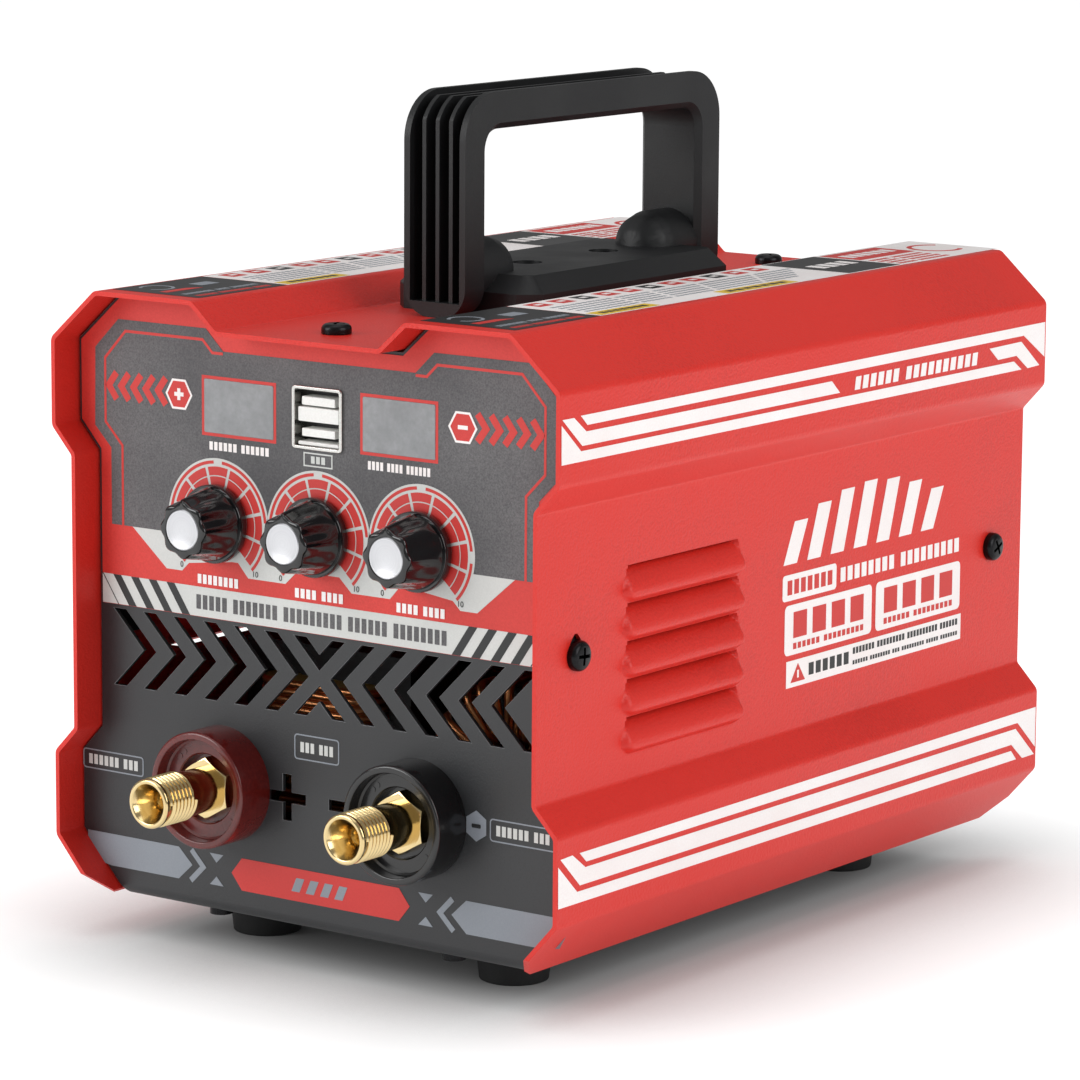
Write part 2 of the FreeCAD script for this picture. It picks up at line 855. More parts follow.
def film():
    """Printed film on the upper half of the front panel, with the windows and holes cut out."""
    piece = Piece("front_film")
    inset = S.cover_wall + S.panel_gap + S.film_border
    section = case_section(inset)
    names = ("channel", "ridge_inner", "ridge_outer", "shoulder", "flare", "waist_top")
    half = [section[name] for name in names]
    half.append((S.waist_half_width - inset, S.film_bottom))
    face = S.case_depth / 2 - S.panel_recess
    piece.pad("y", [polygon(mirrored(half) + half)], -face - S.film_wall, S.film_wall)
    cuts = [circle(x, S.dial_height, S.pot_bush_radius + S.hole_clearance) for x in dial_places()]
    for hand in (-1, 1):
        cuts.append(rectangle(hand * S.meter_offset, S.meter_level, S.meter_width, S.meter_height))
    usb = S.usb_width + 2 * S.hole_clearance
    cuts.append(rectangle(as_size(0), S.usb_level, usb, usb))
    piece.pocket("y", cuts, -face - S.film_wall - S.cut_past, S.film_wall + 2 * S.cut_past)


# ---------------------------------------------------------------- fastenings


def pan_screw(name, at, axis, sense, radius, length, head_radius, head_height):
    """A pan-head screw: its head stands on at and points along sense, its shank goes the other way."""
    spot = dict(zip("xyz", at))
    ends = []
    for size, wide in ((head_height, head_radius), (length, radius)):
        start = dict(spot)
        outward = (wide is head_radius) == (sense > 0)
        if not outward:
            start[axis] = spot[axis] - size
        ends.append(rod(f"{name}_{len(ends)}", tuple(start.values()), wide, size, axis))
    return fuse(name, ends)


def cover_screws():
    common = (S.screw_radius, S.screw_length, S.screw_head_radius, S.screw_head_height)
    line = S.case_depth / 2 - S.cover_screw_setback
    top = [
        pan_screw(f"top_screw_{index}", (0, y, up(S.channel_height)), "z", 1, *common)
        for index, y in enumerate((-line, line))
    ]
    node("cover_top_screws", group("top_screws", top))
    side = []
    for hand in (-1, 1):
        for y in (-line, line):
            spot = (hand * S.waist_half_width, y, up(S.side_screw_height))
            side.append(pan_screw(f"side_screw_{len(side)}", spot, "x", hand, *common))
    node("cover_side_screws", group("side_screws", side))


def feet():
    """Four rubber feet, each held by a screw from below."""
    rubber, screws = [], []
    for index, (x, y) in enumerate(foot_places()):
        cone = DOC.addObject("Part::Cone", f"foot_{index}")
        bind(cone, "Radius1", S.foot_bottom_radius)
        bind(cone, "Radius2", S.foot_top_radius)
        bind(cone, "Height", S.foot_height)
        placed(cone, (x, y, 0))
        tools = [
            rod(f"foot_recess_{index}", (x, y, 0), S.foot_recess_radius, S.foot_recess_depth),
            rod(f"foot_hole_{index}", (x, y, 0), S.screw_radius + S.hole_clearance, S.foot_height),
        ]
        rubber.append(cut(f"foot_body_{index}", cone, tools))
        shank = S.foot_height - S.foot_recess_depth + S.tray_wall + S.foot_screw_end
        spot = (x, y, S.foot_recess_depth)
        screws.append(pan_screw(
            f"foot_screw_{index}", spot, "z", -1, S.screw_radius, shank, S.screw_head_radius,
            S.screw_head_height,
        ))
    node("feet", group("feet_group", rubber))
    node("foot_screws", group("foot_screw_group", screws))


# ---------------------------------------------------------------- handle


def arch(depth, floor):
    """Side outline of the carrying arch, moved inwards by depth, as a band of its outer surface."""
    end, top = S.handle_half_length, S.handle_top
    return [
        (-end, floor), (-end, top), (end, top), (end, floor),
        (end - depth, floor), (end - depth, top - depth), (-end + depth, top - depth),
        (-end + depth, floor),
    ]


def handle():
    """Moulded carrying handle: base plate, two legs and a grip with outward ribs."""
    piece = Piece("handle")
    width = 2 * S.handle_half_width
    foot = S.channel_height
    piece.pad("x", [polygon(arch(S.handle_bar, foot))], -S.handle_half_width, width)

    def across(a, b, y, z):
        return near(abs(a.y), y) and near(a.y, b.y) and near(a.z, z) and near(b.z, z)

    end, top, bar = S.handle_half_length.value, S.handle_top.value, S.handle_bar.value
    piece.dress("Fillet", S.handle_corner, lambda a, b: across(a, b, end, top))
    piece.dress("Fillet", S.handle_inner_corner, lambda a, b: across(a, b, end - bar, top - bar))

    def leg_corner(a, b):
        wide = near(abs(a.x), S.handle_half_width.value) and near(a.x, b.x)
        return wide and near(a.z, foot.value) and near(b.z, foot.value)

    piece.dress("Fillet", S.handle_half_width - S.rib_wall, leg_corner)

    def inner_rim(a, b):
        wide = near(abs(a.x), S.handle_half_width.value) and near(a.x, b.x)
        inside = max(abs(a.y), abs(b.y)) < end - bar + 0.02 and max(a.z, b.z) < top - bar + 0.02
        return wide and inside and max(a.z, b.z) > foot.value + S.handle_corner.value

    piece.dress("Chamfer", S.handle_bevel, inner_rim)
    handle_ribs(piece)
    handle_base(piece)


def handle_ribs(piece):
    """Grooves between the ribs, round the outside of the arch."""
    inner = 2 * (S.handle_half_width - S.rib_wall)
    piece.pocket("x", [polygon(arch(S.rib_recess, S.rib_floor))], -inner / 2, inner)
    gaps = S.rib_count - 1
    gap = (inner - (gaps - 1) * S.rib_inner) / gaps
    for index in numbers(gaps):
        start = -inner / 2 + index * (gap + S.rib_inner)
        piece.pocket("x", [polygon(arch(S.rib_depth, S.rib_floor))], start, gap)


def handle_base(piece):
    foot, half, wide = S.channel_height, S.base_half_length, S.base_half_width
    corner, bevel = S.base_corner, S.base_bevel
    outline = []
    for x_sign, y_sign in ((1, -1), (1, 1), (-1, 1), (-1, -1)):
        first = (x_sign * (wide - corner), y_sign * half)
        second = (x_sign * wide, y_sign * (half - corner))
        outline += [first, second] if x_sign == -y_sign else [second, first]
    piece.pad("z", [polygon(outline)], foot, S.base_rise)
    top = (foot + S.base_rise).value

    def rim(a, b):
        outside = max(abs(a.x), abs(b.x)) > S.handle_half_width.value + S.merge.value
        return near(a.z, top) and near(b.z, top) and outside

    piece.dress("Chamfer", bevel, rim)
    inner = S.handle_half_length - S.handle_bar
    level = foot + S.base_rise
    for end in (-1, 1):
        root_y = end * (inner + S.merge)
        shoulder = end * (inner - S.gusset_length)
        section = [(0, root_y), (S.gusset_radius, root_y), (S.gusset_radius, shoulder)]
        for degrees in (30, 60):
            angle = math.radians(degrees)
            x = S.gusset_radius * math.cos(angle)
            section.append((x, shoulder - end * S.gusset_radius * math.sin(angle)))
        section.append((0, shoulder - end * S.gusset_radius))
        bullet = piece.sketch("XY_Plane", [polygon(section)], level)
        feature = piece.body.newObject("PartDesign::Revolution", "handle_gusset")
        feature.Profile = bullet
        feature.ReferenceAxis = (bullet, ["V_Axis"])
        feature.Angle = 360
        DOC.recompute()
    offset = S.handle_screw_offset
    hole = S.handle_screw_radius + S.hole_clearance
    holes = [circle(0, y, hole) for y in (-offset, offset)]
    piece.pocket("z", holes, foot - S.cut_past, S.base_rise + 2 * S.cut_past)
    recess = [circle(0, y, S.screw_head_radius + S.hole_clearance) for y in (-offset, offset)]
    piece.pocket("z", recess, level - S.handle_screw_recess, S.handle_screw_recess + S.cut_past)


def handle_fastenings():
    seat = S.channel_height + S.base_rise - S.handle_screw_recess
    below = S.channel_height - S.cover_wall - S.handle_nut_height
    screws, nuts = [], []
    for index, y in enumerate((-S.handle_screw_offset, S.handle_screw_offset)):
        screws.append(pan_screw(
            f"handle_screw_{index}", (0, y, up(seat)), "z", 1, S.handle_screw_radius,
            S.handle_screw_length, S.screw_head_radius, S.screw_head_height,
        ))
        plate = block(
            f"handle_nut_plate_{index}", (0, y, up(below)),
            (2 * S.handle_nut_half, 2 * S.handle_nut_half, S.handle_nut_height),
        )
        thread = S.handle_screw_radius + S.tapped_clearance
        nuts.append(cut(
            f"handle_nut_{index}", plate,
            [rod(f"handle_nut_hole_{index}", (0, y, up(below)), thread, S.handle_nut_height)],
        ))
    node("handle_screws", group("handle_screw_group", screws))
    node("handle_nuts", group("handle_nut_group", nuts))


# ---------------------------------------------------------------- controls


def panel_front():
    """Y of the panel's front face."""
    return -(S.case_depth / 2 - S.panel_recess)


def panel_back():
    return panel_front() + S.tray_wall


def control_front():
    """The control board stands against the backs of the potentiometers."""
    return panel_back() + S.pot_body_depth


def control(title, x):
    """One knob with its cap and shaft, and the potentiometer behind the panel."""
    back = panel_front() - S.film_wall - S.knob_gap
    front = back - S.knob_length
    bore = S.shaft_radius + S.running_gap
    nose = front + S.knob_cap_depth
    knob = Piece(f"knob_{title}", (x, 0, S.dial_height))
    skirt = back - S.knob_skirt_length
    knob.spin("y", [
        (S.knob_hollow_radius, back), (S.knob_skirt_radius, back), (S.knob_skirt_radius, skirt),
        (S.knob_grip_radius, skirt - S.knob_skirt_bevel), (S.knob_nose_radius, front),
        (S.knob_cap_radius, front), (S.knob_cap_radius, nose), (0, nose),
        (0, nose + S.knob_web), (bore, nose + S.knob_web),
        (bore, back - S.knob_hollow_depth), (S.knob_hollow_radius, back - S.knob_hollow_depth),
    ])
    ring = S.knob_grip_radius + S.flute_offset
    start, depth = front - S.cut_past, skirt - front + S.cut_past
    flute = knob.pocket("y", [circle(ring, 0, S.flute_radius)], start, depth)
    knob.repeat_round(flute, S.flute_count)
    centre = (x, nose - S.knob_cap_depth, up(S.dial_height))
    radius = S.knob_cap_radius - S.tapped_clearance
    cap = rod(f"cap_{title}", centre, radius, S.knob_cap_depth, "y")
    node(f"knob_cap_{title}", cap)
    tail = panel_back() + S.pot_body_depth - S.pot_back_wall
    start = nose + S.knob_web
    shaft = rod(f"shaft_{title}", (x, start, up(S.dial_height)), S.shaft_radius, tail - start, "y")
    node(f"pot_shaft_{title}", shaft)
    pot = Piece(f"pot_body_{title}", (x, 0, S.dial_height))
    bush = panel_back() - S.pot_bush_length
    hollow = S.shaft_radius + S.running_gap
    pot.spin("y", [
        (hollow, bush), (S.pot_bush_radius, bush), (S.pot_bush_radius, panel_back()),
        (S.pot_body_radius, panel_back()), (S.pot_body_radius, panel_back() + S.pot_body_depth),
        (0, panel_back() + S.pot_body_depth), (0, tail + S.tapped_clearance),
        (hollow, tail + S.tapped_clearance),
    ])


def controls():
    nuts = []
    seat = panel_front() - S.film_wall
    for title, x in zip(("left", "middle", "right"), dial_places()):
        control(title, x)
        spot = (x, seat - S.pot_nut_height, up(S.dial_height))
        bar = hexagon(f"pot_nut_bar_{title}", spot, S.pot_nut_radius, S.pot_nut_height, "y")
        thread = S.pot_bush_radius + S.tapped_clearance
        hole = rod(f"pot_nut_hole_{title}", spot, thread, S.pot_nut_height, "y")
        nuts.append(cut(f"pot_nut_{title}", bar, [hole]))
    node("pot_nuts", group("pot_nut_group", nuts))


def meters():
    """Two display modules behind the panel, each with a clear window in the film."""
    windows, modules = [], []
    front = panel_front() - S.film_wall
    slack = S.tapped_clearance
    for index, hand in enumerate((-1, 1)):
        x = hand * S.meter_offset
        low = up(S.meter_level - S.meter_height / 2)
        windows.append(block(
            f"window_{index}", (x, front + S.window_wall / 2, low + slack),
            (S.meter_width - 2 * slack, S.window_wall, S.meter_height - 2 * slack),
        ))
        modules.append(block(
            f"display_{index}", (x, (panel_back() + control_front()) / 2, low - S.meter_margin),
            (
                S.meter_width + 2 * S.meter_margin, control_front() - panel_back(),
                S.meter_height + 2 * S.meter_margin,
            ),
        ))
    node("meter_windows", group("window_group", windows))
    node("meter_displays", group("display_group", modules))


def usb_outlet():
    """A twin socket: a metal shell with two mouths and a white tongue in each."""
    shell = Piece("usb_shell", (0, 0, S.usb_level))
    front = panel_front() - S.film_wall - S.usb_proud
    zero = as_size(0)
    length = control_front() - front
    shell.pad("y", [rectangle(zero, zero, S.usb_width, S.usb_width)], front, length)
    mouth = S.usb_width - 2 * S.usb_wall
    level = (S.usb_mouth + S.usb_wall) / 2
    mouths = [rectangle(zero, sign * level, mouth, S.usb_mouth) for sign in (-1, 1)]
    shell.pocket("y", mouths, front - S.cut_past, length - S.usb_wall + S.cut_past)
    tongues = []
    for sign in (-1, 1):
        depth = length - S.usb_wall - S.usb_tongue_setback
        middle = front + S.usb_tongue_setback + depth / 2
        spot = (0, middle, up(S.usb_level + sign * level) - S.usb_tongue / 2)
        size = (mouth - 2 * S.usb_tongue_margin, depth, S.usb_tongue)
        tongues.append(block(f"tongue_{sign + 1}", spot, size))
    node("usb_tongues", group("tongues", tongues))


# ---------------------------------------------------------------- output terminals


def terminal(title, x):
    """One output terminal: insulating collar and brass fitting."""
    face = panel_front()
    rim = face - S.collar_proud
    bore = S.neck_radius + S.tapped_clearance
    floor = rim + S.collar_dish
    seat = floor + S.collar_seat_depth
    collar = Piece(f"terminal_collar_{title}", (x, 0, S.terminal_height))
    tail = face + S.collar_spigot_length
    dish = S.collar_radius - S.collar_rim
    collar.spin("y", [
        (bore, seat), (S.collar_seat_radius, seat), (S.collar_seat_radius, floor), (dish, floor),
        (dish, rim), (S.collar_radius, rim), (S.collar_radius, face),
        (S.collar_spigot_radius, face), (S.collar_spigot_radius, tail), (bore, tail),
    ])
    brass = Piece(f"terminal_fitting_{title}", (x, 0, S.terminal_height))
    tip = face - S.nose_reach
    deep = tip + S.nose_bore_depth
    flat = face - S.hexagon_end
    thread_end = flat - S.neck_length
    brass.spin("y", [
        (S.nose_mouth, tip), (S.nose_radius - S.nose_bevel, tip),
        (S.nose_radius, tip + S.nose_bevel), (S.nose_radius, thread_end),
        (S.neck_radius, thread_end), (S.neck_radius, tail), (S.stud_radius, tail),
        (S.stud_radius, tail + S.stud_length), (0, tail + S.stud_length), (0, deep),
        (S.nose_bore, deep), (S.nose_bore, tip + S.nose_mouth_depth),
    ])
    corners = []
    for index in range(6):
        angle = math.radians(90 + 60 * index)
        corners.append((S.hexagon_radius * math.cos(angle), S.hexagon_radius * math.sin(angle)))
    brass.pad("y", [polygon(corners)], flat, seat - flat)


def terminals():
    straps, nuts = [], []
    rear = panel_front() + S.collar_spigot_length
    for title, hand in (("positive", -1), ("negative", 1)):
        x = hand * S.terminal_pitch / 2
        terminal(title, x)
        base = up(S.board_level + S.board_wall)
        height = S.terminal_height - S.board_level - S.board_wall + S.busbar_width / 2
        strap = block(
            f"strap_{title}", (x, rear + S.busbar_wall / 2, base), (S.busbar_width, S.busbar_wall, height)
        )
        centre = (x, rear, up(S.terminal_height))
        thread = S.stud_radius + S.hole_clearance
        hole = rod(f"strap_hole_{title}", centre, thread, S.busbar_wall, "y")
        straps.append(cut(f"busbar_{title}", strap, [hole]))
        spot = (x, rear + S.busbar_wall, up(S.terminal_height))
        bar = hexagon(f"stud_nut_bar_{title}", spot, S.stud_nut_radius, S.stud_nut_height, "y")
        thread = S.stud_radius + S.tapped_clearance
        hole = rod(f"stud_nut_hole_{title}", spot, thread, S.stud_nut_height, "y")
        nuts.append(cut(f"stud_nut_{title}", bar, [hole]))
    node("busbars", group("busbar_group", straps))
    node("terminal_nuts", group("terminal_nut_group", nuts))


# ---------------------------------------------------------------- power electronics


def board_top():
    return up(S.board_level + S.board_wall)


def power_board():
    front = -S.case_depth / 2 + S.board_front_setback
    length = S.board_rear - front
    middle = (S.board_rear + front) / 2
    plate = block(
        "power_plate", (0, middle, up(S.board_level)), (2 * S.board_half_width, length, S.board_wall)
    )
    holes, posts, below, above = [], [], [], []
    clear = S.board_screw_radius + S.hole_clearance
    tapped = S.board_screw_radius + S.tapped_clearance
    for index, (x, y) in enumerate(board_places()):
        holes.append(rod(f"board_hole_{index}", (x, y, up(S.board_level)), clear, S.board_wall))
        height = S.board_level - S.tray_wall
        post = hexagon(f"post_{index}", (x, y, up(S.tray_wall)), S.standoff_radius, height)
        thread = rod(f"post_hole_{index}", (x, y, up(S.tray_wall)), tapped, height)
        posts.append(cut(f"standoff_{index}", post, [thread]))
        common = (S.board_screw_radius, S.board_screw_length, S.board_screw_head)
        ends = (((x, y, up(0)), -1, below), ((x, y, board_top()), 1, above))
        for spot, sense, chosen in ends:
            name = f"board_screw_{index}_{sense + 1}"
            chosen.append(pan_screw(name, spot, "z", sense, *common, S.board_screw_head_height))
    node("power_board", cut("power_board_plate", plate, holes))
    node("standoffs", group("standoff_group", posts))
    node("tray_screws", group("tray_screw_group", below))
    node("board_screws", group("board_screw_group", above))


def heatsinks():
    """Two finned sinks with their devices clamped to the inner faces."""
    devices, rectifiers = [], []
    for title, hand in (("left", -1), ("right", 1)):
        inner = hand * (S.sink_centre - S.sink_width / 2)
        back_x = inner + hand * S.sink_back / 2
        back = block(
            f"sink_back_{title}", (back_x, S.sink_middle, board_top()),
            (S.sink_back, S.sink_length, S.sink_height),
        )
        fins = []
        reach = S.sink_width - S.sink_back + S.merge
        gap = (S.sink_height - S.sink_fin) / (S.sink_fin_count - 1)
        for index in numbers(S.sink_fin_count):
            x = inner + hand * (S.sink_back - S.merge + reach / 2)
            spot = (x, S.sink_middle, board_top() + index * gap)
            fins.append(block(f"fin_{title}_{index}", spot, (reach, S.sink_length, S.sink_fin)))
        node(f"heatsink_{title}", fuse(f"sink_{title}", [back] + fins))
        last = S.device_count - 1
        for index in numbers(S.device_count):
            y = S.sink_middle + (index - last / 2) * S.transistor_pitch
            spot = (inner - hand * S.transistor_wall / 2, y, board_top() + S.transistor_rise)
            size = (S.transistor_wall, S.transistor_width, S.transistor_height)
            chosen = rectifiers if index == last.value else devices
            chosen.append(block(f"device_{title}_{index}", spot, size))
    node("transistors", group("transistor_group", devices))
    node("rectifiers", group("rectifier_group", rectifiers))


def capacitors():
    cans = []
    pitch = 2 * S.capacitor_radius + S.capacitor_gap
    for index in numbers(S.capacitor_count):
        y = S.capacitor_first + index * pitch
        cans.append(rod(f"can_{index}", (0, y, board_top()), S.capacitor_radius, S.capacitor_height))
    node("capacitors", group("capacitor_group", cans))


def transformer():
    """Ferrite core with two windows and the winding round its middle leg."""
    x, y, base = S.transformer_x, S.transformer_y, board_top()
    solid = block("core_solid", (x, y, base), (S.core_width, S.core_depth, S.core_height))
    rise = (S.core_height - S.core_window_height) / 2
    offset = (S.core_leg + S.core_window_width) / 2
    windows = []
    for hand in (-1, 1):
        spot = (x + hand * offset, y, base + rise)
        size = (S.core_window_width, S.core_depth, S.core_window_height)
        windows.append(block(f"core_window_{hand + 1}", spot, size))
    node("transformer_core", cut("core", solid, windows))
    gap = S.coil_gap
    width = S.core_leg + 2 * S.core_window_width - 2 * gap
    size = (width, S.coil_depth, S.core_window_height - 2 * gap)
    coil = block("coil_solid", (x, y, base + rise + gap), size)
    hole = block(
        "coil_hole", (x, y, base + rise + gap),
        (S.core_leg + 2 * gap, S.core_depth + 2 * gap, S.core_window_height - 2 * gap),
    )
    node("transformer_winding", cut("coil", coil, [hole]))


def ring(name, at, outer, inner, length, axis):
    return cut(name, rod(f"{name}_outer", at, outer, length, axis),
               [rod(f"{name}_inner", at, inner, length, axis)])


def choke():
    """Toroidal output choke standing on its edge, wound with heavy wire."""
    wall, gap = S.choke_coil_wall, S.coil_gap
    centre = board_top() + S.choke_outer + wall + gap
    start = S.choke_y - S.choke_half_depth
    depth = 2 * S.choke_half_depth
    at = (S.choke_x, start, centre)
    node("choke_core", ring("choke_ring", at, S.choke_outer, S.choke_inner, depth, "y"))
    grown = wall + gap
    outside = ring(
        "choke_sleeve", (S.choke_x, start - grown, centre), S.choke_outer + grown,
        S.choke_inner - grown, depth + 2 * grown, "y",
    )
    hollow = ring(
        "choke_hollow", (S.choke_x, start - gap, centre), S.choke_outer + gap,
        S.choke_inner - gap, depth + 2 * gap, "y",
    )
    window = block(
        "choke_gap", (S.choke_x + S.choke_outer, S.choke_y, centre - S.choke_inner / 2),
        (S.choke_outer, depth + 4 * grown, S.choke_inner),
    )
    node("choke_winding", cut("choke_coil", outside, [hollow, window]))


def control_board():
    plate = block(
        "control_plate", (0, control_front() + S.board_wall / 2, up(S.control_bottom)),
        (2 * S.control_half_width, S.board_wall, S.control_top - S.control_bottom),
    )
    node("control_board", plate)


# ---------------------------------------------------------------- rear panel


def fan():
    """Square axial fan: frame with a spider and spindle, and a seven-bladed rotor."""
    outer = S.case_depth / 2 - S.panel_recess - S.tray_wall
    start = outer - S.fan_depth
    zero = as_size(0)
    frame = Piece("fan_housing", (fan_middle(), 0, S.fan_level))
    frame.pad("y", [rectangle(zero, zero, 2 * S.fan_half, 2 * S.fan_half)], start, S.fan_depth)

    def upright(a, b):
        corner = near(abs(a.x), S.fan_half.value) and near(abs(a.z), S.fan_half.value)
        return corner and near(a.x, b.x) and near(a.z, b.z)

    frame.dress("Fillet", S.fan_corner_wall, upright)
    before, through = start - S.cut_past, S.fan_depth + 2 * S.cut_past
    frame.pocket("y", [circle(0, 0, fan_bore())], before, through)
    half = fan_hole_pitch() / 2
    corners = [(x, z) for x in (-half, half) for z in (-half, half)]
    holes = [circle(x, z, S.fan_hole_radius) for x, z in corners]
    frame.pocket("y", holes, before, through)
    spider = S.fan_spider_wall
    span = 2 * (fan_bore() + S.merge)
    frame.pad("y", [circle(0, 0, S.fan_hub_radius)], start, spider)
    frame.pad("y", [rectangle(zero, zero, span, spider)], start, spider)
    frame.pad("y", [rectangle(zero, zero, spider, span)], start, spider)
    spindle = S.fan_depth - spider - S.fan_spindle_end
    frame.pad("y", [circle(0, 0, S.fan_spindle_radius)], start + spider, spindle)
    rotor(start + spider + S.fan_end_gap, outer - S.fan_end_gap)
    guard_and_screws(corners, outer)


def rotor(start, end):
    depth = end - start
    at = (fan_middle(), start, up(S.fan_level))
    tip = fan_bore() - S.fan_blade_gap
    hub = rod("rotor_hub", at, S.fan_hub_radius, depth, "y")
    blades = []
    for index in numbers(S.fan_blade_count):
        blade = DOC.addObject("Part::Box", f"blade_{index}")
        bind(blade, "Length", tip + S.merge)
        bind(blade, "Width", S.fan_blade_chord)
        bind(blade, "Height", S.fan_blade_wall)
        turn = Rotation(Vector(0, 1, 0), 360.0 * index / S.fan_blade_count.value)
        tilt = Rotation(Vector(1, 0, 0), S.fan_blade_pitch.value)
        half_chord, half_wall = S.fan_blade_chord.value / 2, S.fan_blade_wall.value / 2
        offset = turn.multVec(tilt.multVec(Vector(0, -half_chord, -half_wall)))
        blade.Placement = Placement(offset, turn.multiply(tilt))
        middle = (at[0], start + depth / 2, at[2])
        for letter, size, move in zip("xyz", middle, offset):
            bind(blade, f"Placement.Base.{letter}", size + move)
        blades.append(blade)
    swept = rod("rotor_swept", at, tip, depth, "y")
    vanes = DOC.addObject("Part::MultiCommon", "rotor_vanes")
    vanes.Shapes = [fuse("rotor_blades", blades), swept]
    whole = fuse("rotor_whole", [hub, vanes])
    hole = S.fan_spindle_radius + S.running_gap
    bore = rod("rotor_bore", at, hole, depth - S.fan_cap_wall, "y")
    node("fan_rotor", cut("rotor", whole, [bore]))


def guard_and_screws(corners, outer):
    """Wire finger guard over the rear opening, and the four screws that hold guard and fan."""
    face = outer + S.tray_wall
    plane = face + S.guard_standoff
    wires = []
    for index in numbers(S.guard_count):
        torus = DOC.addObject("Part::Torus", f"guard_ring_{index}")
        bind(torus, "Radius1", S.guard_first + index * S.guard_pitch)
        bind(torus, "Radius2", S.guard_wire)
        wires.append(placed(torus, (fan_middle(), plane, up(S.fan_level)), "y"))
    screws = []
    reach = root(2 * (fan_hole_pitch() / 2) * (fan_hole_pitch() / 2))
    for index, (x, z) in enumerate(corners):
        spot = (fan_middle() + x, face, up(S.fan_level + z))
        inner = S.screw_radius + S.hole_clearance
        height = S.guard_standoff + S.guard_wire
        wires.append(ring(f"guard_eye_{index}", spot, inner + S.guard_eye_wall, inner, height, "y"))
        length = reach - S.guard_first - inner - S.merge
        arm = rod(f"guard_arm_{index}", (0, 0, 0), S.guard_wire, length)
        lean = Vector(1 if x.value > 0 else -1, 0, 1 if z.value > 0 else -1)
        arm.Placement = Placement(Vector(), Rotation(Vector(0, 0, 1), lean))
        first = S.guard_first * math.sqrt(0.5)
        middle = (fan_middle() + first * lean.x, plane, up(S.fan_level + first * lean.z))
        for letter, size in zip("xyz", middle):
            bind(arm, f"Placement.Base.{letter}", size)
        wires.append(arm)
        seat = (spot[0], face + height, spot[2])
        screws.append(pan_screw(
            f"fan_screw_{index}", seat, "y", 1, S.screw_radius, 2 * S.screw_length,
            S.screw_head_radius, S.screw_head_height,
        ))
    node("fan_guard", fuse("guard", wires))
    node("fan_screws", group("fan_screw_group", screws))


def power_switch():
    """Rear rocker switch: a housing with a bezel and a rocker that tilts in it."""
    face = S.case_depth / 2 - S.panel_recess
    zero = as_size(0)
    width, height, lip = S.switch_width, S.switch_height, S.switch_bezel
    housing = Piece("switch_housing", (S.switch_x, 0, S.switch_level))
    bezel = rectangle(zero, zero, width + 2 * lip, height + 2 * lip)
    housing.pad("y", [bezel], face, S.switch_bezel_wall)
    housing.pad("y", [rectangle(zero, zero, width, height)], face - S.switch_depth, S.switch_depth)
    inner = width - 2 * S.switch_wall
    hollow = rectangle(zero, zero, inner, height - 2 * S.switch_wall)
    depth = S.switch_hollow + S.switch_bezel_wall
    housing.pocket("y", [hollow], face - S.switch_hollow, depth + S.cut_past)
    axle = face - S.rocker_pivot
    socket = circle(axle, 0, S.rocker_pin + S.running_gap)
    housing.pocket("x", [socket], -width / 2 - S.cut_past, width + 2 * S.cut_past)
    rocker = Piece("switch_rocker", (S.switch_x, 0, S.switch_level))
    across = inner - 2 * S.rocker_gap
    rocker.pad("x", [polygon(rocker_section(axle))], -across / 2, across)
    pin = across + 2 * S.rocker_gap + S.switch_wall
    rocker.pad("x", [circle(axle, 0, S.rocker_pin)], -pin / 2, pin)


def rocker_section(axle):
    """Rocker outline about its pin: ends on one arc, a shallow valley, leaning with its top out."""
    reach = S.switch_height / 2 - S.switch_wall - S.rocker_gap
    upper = [(S.rocker_valley, as_size(0))]
    for share in (1.0, 0.5, 0.0):
        angle = math.radians(S.rocker_rise.value * share)
        upper.append((reach * math.sin(angle), reach * math.cos(angle)))
    upper.append((-S.rocker_root, reach / 2))
    ring = upper + [(y, -z) for y, z in reversed(upper[1:])]
    lean = math.radians(S.rocker_tilt.value)
    turned = []
    for y, z in ring:
        out = axle + y * math.cos(lean) + z * math.sin(lean)
        turned.append((out, z * math.cos(lean) - y * math.sin(lean)))
    return turned


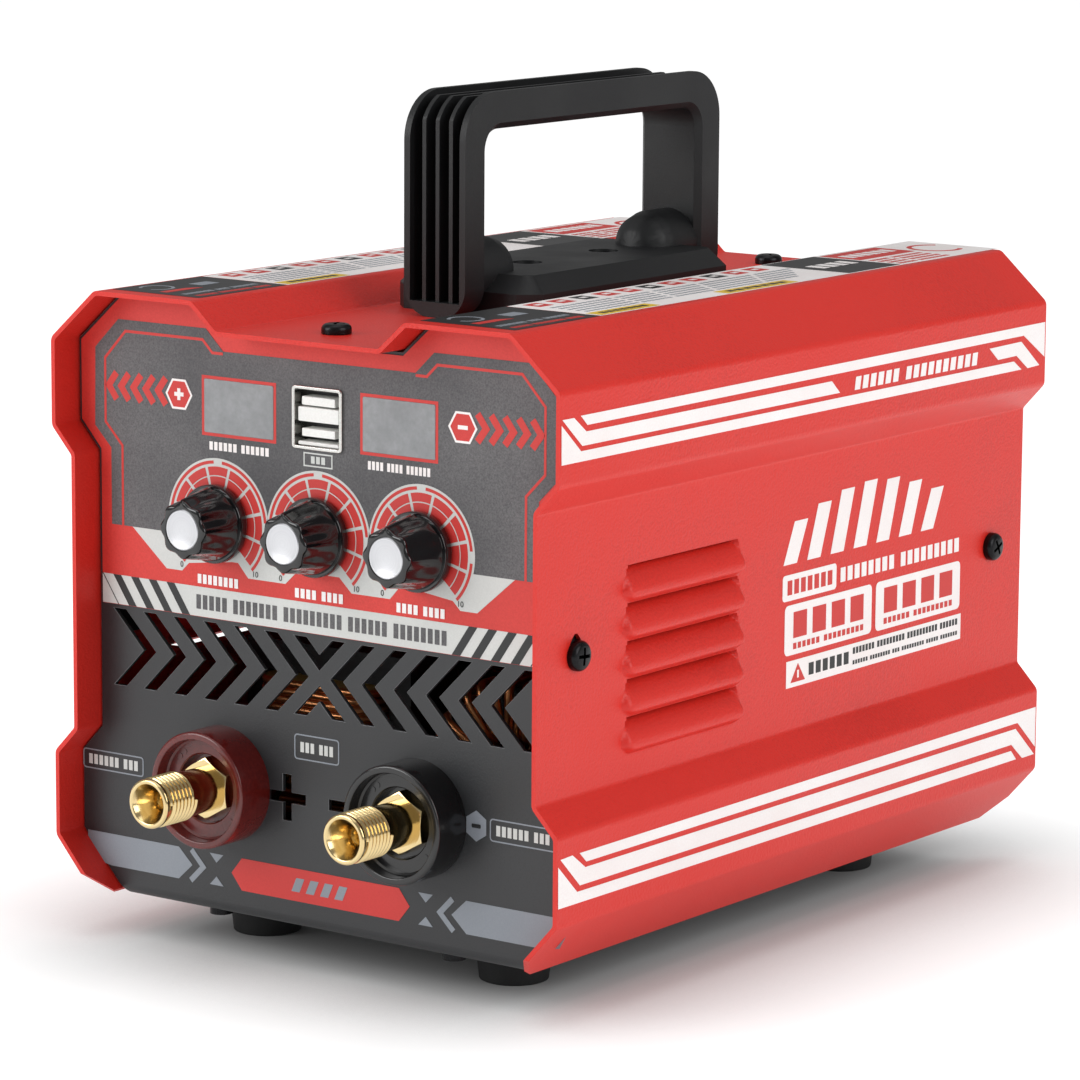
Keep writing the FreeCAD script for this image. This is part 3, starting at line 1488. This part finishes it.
def cable_gland():
    """Gland for the mains lead: body, dome cap, seal and locknut."""
    face = S.case_depth / 2 - S.panel_recess
    at = (S.gland_x, 0, S.gland_level)
    inside = face - S.tray_wall - S.gland_nut_height - S.gland_end
    neck = S.gland_thread_radius - S.gland_thread_step
    shoulder = face + S.gland_hexagon_length
    body = Piece("gland_body", at)
    seal = S.gland_seal_radius
    hollow = seal + S.gland_play
    mouth = shoulder + S.gland_seal_length
    across = S.gland_thread_radius + S.gland_hexagon_wall
    collar = across * math.cos(math.radians(30))
    bore = S.gland_bore + S.gland_wall
    body.spin("y", [
        (bore, inside), (S.gland_thread_radius, inside), (S.gland_thread_radius, face),
        (collar, face), (collar, shoulder), (neck, shoulder), (neck, mouth), (hollow, mouth),
        (hollow, shoulder), (bore, shoulder),
    ])
    corners = []
    for index in range(6):
        angle = math.radians(60 * index)
        corners.append((across * math.cos(angle), across * math.sin(angle)))
    body.pad("y", [polygon(corners)], face + S.gland_wall, S.gland_hexagon_length - 2 * S.gland_wall)
    body.pocket("y", [circle(0, 0, bore)], inside - S.cut_past, shoulder - inside + S.cut_past)
    tip, start, seat = face + S.gland_reach, shoulder + S.gland_play, mouth + S.gland_play
    outer = S.gland_thread_radius + S.gland_cap_step
    cap = Piece("gland_cap", at)
    cap.spin("y", [
        (neck + S.gland_play, start), (outer, start), (outer, tip - S.gland_shoulder),
        (outer - S.gland_end, tip - S.gland_crown), (bore + S.gland_lip, tip),
        (bore, tip), (bore, tip - S.gland_crown), (hollow, seat), (neck + S.gland_play, seat),
    ])
    insert = Piece("gland_seal", at)
    insert.spin("y", [
        (S.gland_bore, shoulder), (seal, shoulder), (seal, mouth), (S.gland_bore, mouth),
    ])
    spot = (S.gland_x, inside + S.gland_end, up(S.gland_level))
    corner = S.gland_thread_radius + S.gland_nut_wall
    bar = hexagon("gland_nut_bar", spot, corner, S.gland_nut_height, "y")
    thread = S.gland_thread_radius + S.tapped_clearance
    hole = rod("gland_nut_hole", spot, thread, S.gland_nut_height, "y")
    node("gland_locknut", cut("gland_nut", bar, [hole]))


def earth_stud():
    """Earth bolt through the rear panel, head inside, with a nut outside."""
    face = S.case_depth / 2 - S.panel_recess
    level = up(S.earth_level)
    back = face - S.tray_wall
    under = (S.earth_x, back - S.earth_head_height, level)
    head = hexagon("earth_head", under, S.earth_head_radius, S.earth_head_height, "y")
    start = (S.earth_x, back - S.merge, level)
    shank = rod("earth_shank", start, S.earth_radius, S.earth_length, "y")
    node("earth_stud", fuse("earth_bolt", [head, shank]))
    spot = (S.earth_x, face, level)
    bar = hexagon("earth_nut_bar", spot, S.earth_head_radius, S.earth_nut_height, "y")
    thread = S.earth_radius + S.tapped_clearance
    hole = rod("earth_nut_hole", spot, thread, S.earth_nut_height, "y")
    node("earth_nut", cut("earth_nut_body", bar, [hole]))


def build():
    cover()
    tray()
    film()
    cover_screws()
    feet()
    handle()
    handle_fastenings()
    controls()
    meters()
    usb_outlet()
    terminals()
    power_board()
    heatsinks()
    capacitors()
    transformer()
    choke()
    control_board()
    fan()
    power_switch()
    cable_gland()
    earth_stud()
    DOC.recompute()


def check():
    """Stop if any object failed or any sub-part has no sound solid."""
    for item in DOC.Objects:
        if any(word in item.State for word in ("Invalid", "Error")):
            raise ValueError(f"{item.Label} failed: {item.State}")
    for name, item in NODES.items():
        shape = item.Shape
        if shape.isNull() or not shape.isValid() or not shape.Solids:
            raise ValueError(f"{name} has no sound solid")
        if item.TypeId != "Part::Compound" and len(shape.Solids) != 1:
            raise ValueError(f"{name} fell into {len(shape.Solids)} solids")


def export():
    os.makedirs("parts", exist_ok=True)
    for name, item in NODES.items():
        item.Shape.exportStep(f"parts/{name}.step")


build()
check()
export()
print(f"{len(NODES)} sub-parts")
